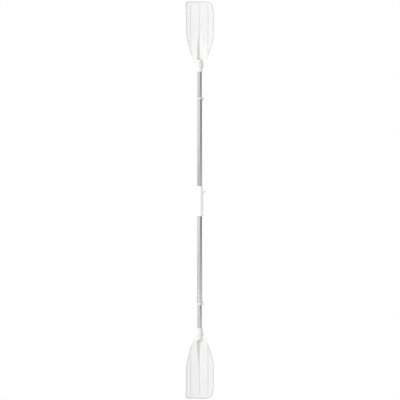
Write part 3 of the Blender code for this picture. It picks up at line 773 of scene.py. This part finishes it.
def between(owner, value, low_end, high_end, start=0.3, stop=0.7):
    """A value's range start to stop spread over low_end to high_end."""
    mapped = add_node(
        owner,
        "ShaderNodeMapRange",
        {
            "Value": value,
            "From Min": start,
            "From Max": stop,
            "To Min": low_end,
            "To Max": high_end,
        },
    )
    return mapped.outputs["Result"]


def mixed(material, share, first, second):
    """A colour between two, by a share from 0 to 1."""
    mix = add_node(material, "ShaderNodeMix", data_type="RGBA")
    tree = material.node_tree
    tree.links.new(share, mix.inputs["Factor"])
    for socket, colour in (("A", first), ("B", second)):
        target = next(i for i in mix.inputs if i.name == socket and i.type == "RGBA")
        if isinstance(colour, bpy.types.NodeSocket):
            tree.links.new(colour, target)
        else:
            target.default_value = (*colour, 1)
    return next(o for o in mix.outputs if o.type == "RGBA")


def raise_surface(material, shader, height, strength, distance):
    """A bump from a height."""
    bump_node = add_node(
        material, "ShaderNodeBump", {"Height": height, "Strength": strength, "Distance": distance}
    )
    material.node_tree.links.new(bump_node.outputs["Normal"], shader.inputs["Normal"])


def set_inputs(material, shader, **inputs):
    for key, value in inputs.items():
        socket = shader.inputs[key.replace("_", " ")]
        if isinstance(value, bpy.types.NodeSocket):
            material.node_tree.links.new(value, socket)
        else:
            socket.default_value = value


def blade_plastic():
    """Milky polyethylene: clouded, a little warmer near the socket, with painted shade where light
    crosses thick plastic, and scuffed along its length."""
    material, shader = new_material("milky_polyethylene")
    clouds = stretched_noise(material, (1, 1, 0.6), size=22, detail=4)
    share = between(material, clouds, 0, 1)
    cloudy = mixed(material, share, MILKY, MILKY_LIGHT)
    place = add_node(material, "ShaderNodeTexCoord").outputs["Object"]
    split = add_node(material, "ShaderNodeSeparateXYZ", {"Vector": place})
    height = add_node(
        material, "ShaderNodeMath", {0: split.outputs["Z"]}, operation="ABSOLUTE"
    ).outputs["Value"]
    near_socket = between(
        material, height, WARM_SHARE, 0, SOCKET_MOUTH, SOCKET_MOUTH + BLADE_LENGTH / 2
    )
    tinted = mixed(material, near_socket, cloudy, WARM_BY_SOCKET)
    # Painted shade where light crosses thick plastic, read from the mesh attribute
    depth_shade_node = add_node(material, "ShaderNodeAttribute", attribute_name=DEPTH_SHADE_ATTRIBUTE)
    colour = mixed(material, depth_shade_node.outputs["Fac"], tinted, THICK_SHADE)
    scuffs = stretched_noise(material, (30, 30, 1.2), size=26, detail=6)
    grain = stretched_noise(material, (1, 1, 1), size=1400, detail=2)
    relief = add_node(
        material, "ShaderNodeMath", {0: grain, 1: scuffs}, operation="ADD"
    ).outputs["Value"]
    raise_surface(material, shader, relief, strength=0.25, distance=0.05 * MM)
    set_inputs(
        material,
        shader,
        Base_Color=colour,
        Roughness=between(material, scuffs, 0.3, 0.46),
        Subsurface_Weight=0.2,
        Subsurface_Scale=4 * MM,
        Subsurface_Radius=(1, 1, 0.9),
        IOR=1.5,
    )
    return material


def moulded_plastic(name, dark, light, roughness):
    """Opaque moulded plastic with a fine spark-eroded grain and faint handling marks."""
    material, shader = new_material(name)
    patches = stretched_noise(material, (1, 1, 1), size=60, detail=4)
    grain = stretched_noise(material, (1, 1, 1), size=1800, detail=2)
    marks = stretched_noise(material, (12, 12, 2), size=40, detail=5)
    raise_surface(material, shader, grain, strength=0.35, distance=0.06 * MM)
    set_inputs(
        material,
        shader,
        Base_Color=mixed(material, between(material, patches, 0, 1), dark, light),
        Roughness=between(material, marks, roughness - 0.06, roughness + 0.08),
        IOR=1.5,
    )
    return material


def drawn_metal(name, dark, light, roughness, lines):
    """Bright metal with fine lines along the shaft from drawing, lines setting how close they
    are, and soft rubbed patches."""
    material, shader = new_material(name)
    drawing = stretched_noise(material, (lines, lines, 1), size=8, detail=4)
    rubbed = stretched_noise(material, (1, 1, 0.25), size=30)
    raise_surface(material, shader, drawing, strength=0.12, distance=0.04 * MM)
    set_inputs(
        material,
        shader,
        Base_Color=mixed(material, between(material, drawing, 0, 1), dark, light),
        Roughness=between(material, rubbed, roughness - 0.05, roughness + 0.07),
        Metallic=1.0,
    )
    return material


BLADE_PLASTIC = blade_plastic()
WHITE_PLASTIC = moulded_plastic("white_nylon", (0.93, 0.93, 0.92), (0.96, 0.96, 0.95), 0.42)
COLLAR_PLASTIC = moulded_plastic("collar_nylon", (0.72, 0.72, 0.71), (0.77, 0.77, 0.76), 0.45)
GREY_PLASTIC = moulded_plastic("grey_plug_plastic", (0.4, 0.41, 0.42), (0.5, 0.51, 0.52), 0.5)
ALUMINIUM = drawn_metal("anodised_aluminium", (0.84, 0.85, 0.87), (0.92, 0.925, 0.935), 0.22, 90)
STEEL = drawn_metal("bright_steel", (0.76, 0.76, 0.77), (0.86, 0.86, 0.87), 0.36, 30)


# The object

for end in ("upper", "lower"):
    shaft, section = f"{end}_shaft", f"{end}_blade_section"
    make_blade(end)
    make_blade_screw(end)
    make_tube(
        end,
        "blade_tube",
        BLADE_TUBE_RADIUS,
        BLADE_TUBE_WALL,
        BLADE_TUBE_END,
        SOCKET_FLOOR,
        section,
    )
    make_tube(end, "grip_tube", GRIP_RADIUS, GRIP_WALL, GRIP_END, GRIP_MOUTH, shaft)
    make_collar(end, shaft)
make_button("upper", "upper_snap_button", "upper_button")
make_button("upper", "lower_snap_button", "lower_button")
make_button("upper", "joiner_button", "joiner_button")
make_joiner()
make_lever()
for node, material in {
    "upper_snap_spring": STEEL,
    "lower_snap_spring": STEEL,
    "joiner_spring": STEEL,
    "pressure_pad": GREY_PLASTIC,
    "upper_grip_plug": GREY_PLASTIC,
    "lower_grip_plug": GREY_PLASTIC,
    "upper_blade_tube_plug": GREY_PLASTIC,
    "lower_blade_tube_plug": GREY_PLASTIC,
}.items():
    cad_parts[node].data.materials.clear()
    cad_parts[node].data.materials.append(material)


# Floor, light and camera

FLOOR_RADIUS = 70
FLOOR_DROP = 1.5 * MM  # below the lower blade's tip
FLOOR_DARK, FLOOR_LIGHT = (0.6, 0.6, 0.61), (0.62, 0.62, 0.63)
VIEW_HEIGHT = 2.458  # what the photograph takes in, in metres
VIEW_DISTANCE = 8
SHAFT_LEFT_OF_CENTRE = 2.2 * MM
# The studio's brightness at shares of the way from opposite its dark side to the middle of it
STUDIO = ((0.0, 0.8), (0.25, 0.86), (0.6, 0.8), (0.73, 0.78), (0.82, 0.24), (1.0, 0.22))
DARK_AZIMUTH = radians(68)  # to the right of the camera
DARK_SQUEEZE = 3  # how much wider than high the dark side is
LIGHT_DISTANCE, LIGHT_HEIGHT, PANEL_HEIGHT = 6, 1, 3.2


def make_floor():
    points = [FLOOR_RADIUS * Vector((cos(a), sin(a), 0)) for a in spaced(0, 2 * pi, 96)]
    shape = bmesh.new()
    shape.faces.new([shape.verts.new(point) for point in points])
    floor = mesh_piece("floor", shape)
    floor.location.z = CAD_BOX[0].z - FLOOR_DROP
    material, shader = new_material("pale_floor")
    patches = stretched_noise(material, (1, 1, 1), 1.5)
    share = between(material, patches, 0, 1)
    set_inputs(
        material,
        shader,
        Base_Color=mixed(material, share, FLOOR_DARK, FLOOR_LIGHT),
        Roughness=0.9,
    )
    floor.data.materials.append(material)


def make_world():
    """A pale studio with a dark side to the right, which the tubes reflect in a long line. What
    the camera sees behind the paddle is white."""
    world = bpy.data.worlds.new("studio")
    bpy.context.scene.world = world
    world.use_nodes = True
    world.node_tree.nodes.clear()
    place = add_node(world, "ShaderNodeTexCoord").outputs["Generated"]
    dark_side = (sin(DARK_AZIMUTH), -cos(DARK_AZIMUTH), 0)
    squeezed = add_node(
        world, "ShaderNodeVectorMath", {0: place, 1: (1, 1, DARK_SQUEEZE)}, operation="MULTIPLY"
    ).outputs["Vector"]
    direction = add_node(
        world, "ShaderNodeVectorMath", {0: squeezed}, operation="NORMALIZE"
    ).outputs["Vector"]
    facing = add_node(
        world, "ShaderNodeVectorMath", {0: direction, 1: dark_side}, operation="DOT_PRODUCT"
    ).outputs["Value"]
    share = between(world, facing, 0, 1, -1, 1)
    ramp_node = add_node(world, "ShaderNodeValToRGB", {"Fac": share})
    stops = ramp_node.color_ramp.elements
    while len(stops) < len(STUDIO):
        stops.new(1.0)
    for stop, (position, level) in zip(stops, STUDIO):
        stop.position = position
        stop.color = (level, level, level, 1)
    lit = add_node(world, "ShaderNodeBackground", {"Color": ramp_node.outputs["Color"]})
    plain = add_node(world, "ShaderNodeBackground", {"Color": (1, 1, 1, 1)})
    seen = add_node(world, "ShaderNodeLightPath").outputs["Is Camera Ray"]
    both = add_node(
        world,
        "ShaderNodeMixShader",
        {0: seen, 1: lit.outputs["Background"], 2: plain.outputs["Background"]},
    )
    add_node(world, "ShaderNodeOutputWorld", {"Surface": both.outputs["Shader"]})


def make_light(name, azimuth, width, energy):
    """A soft panel that faces the middle of the paddle, azimuth degrees to the camera's right."""
    data = bpy.data.lights.new(name, "AREA")
    data.shape = "RECTANGLE"
    data.size, data.size_y = width, PANEL_HEIGHT
    data.energy = energy
    light = bpy.data.objects.new(name, data)
    bpy.context.scene.collection.objects.link(light)
    turn = radians(azimuth)
    light.location = (LIGHT_DISTANCE * sin(turn), -LIGHT_DISTANCE * cos(turn), LIGHT_HEIGHT)
    light.rotation_mode = "QUATERNION"
    light.rotation_quaternion = (-light.location).to_track_quat("-Z", "Y")
    light.visible_camera = False
    light.visible_glossy = False


def make_camera():
    data = bpy.data.cameras.new("camera")
    data.type = "ORTHO"
    data.ortho_scale = VIEW_HEIGHT
    camera = bpy.data.objects.new("camera", data)
    bpy.context.scene.collection.objects.link(camera)
    middle = (CAD_BOX[0].z + CAD_BOX[1].z) / 2
    camera.location = (SHAFT_LEFT_OF_CENTRE, -VIEW_DISTANCE, middle)
    camera.rotation_euler = (pi / 2, 0, 0)
    bpy.context.scene.camera = camera


make_floor()
make_world()
make_light("key", azimuth=-52, width=3, energy=190)
make_light("fill", azimuth=25, width=3, energy=52)
make_light("rim", azimuth=125, width=2, energy=130)
make_camera()
bpy.context.scene.view_settings.view_transform = "Standard"
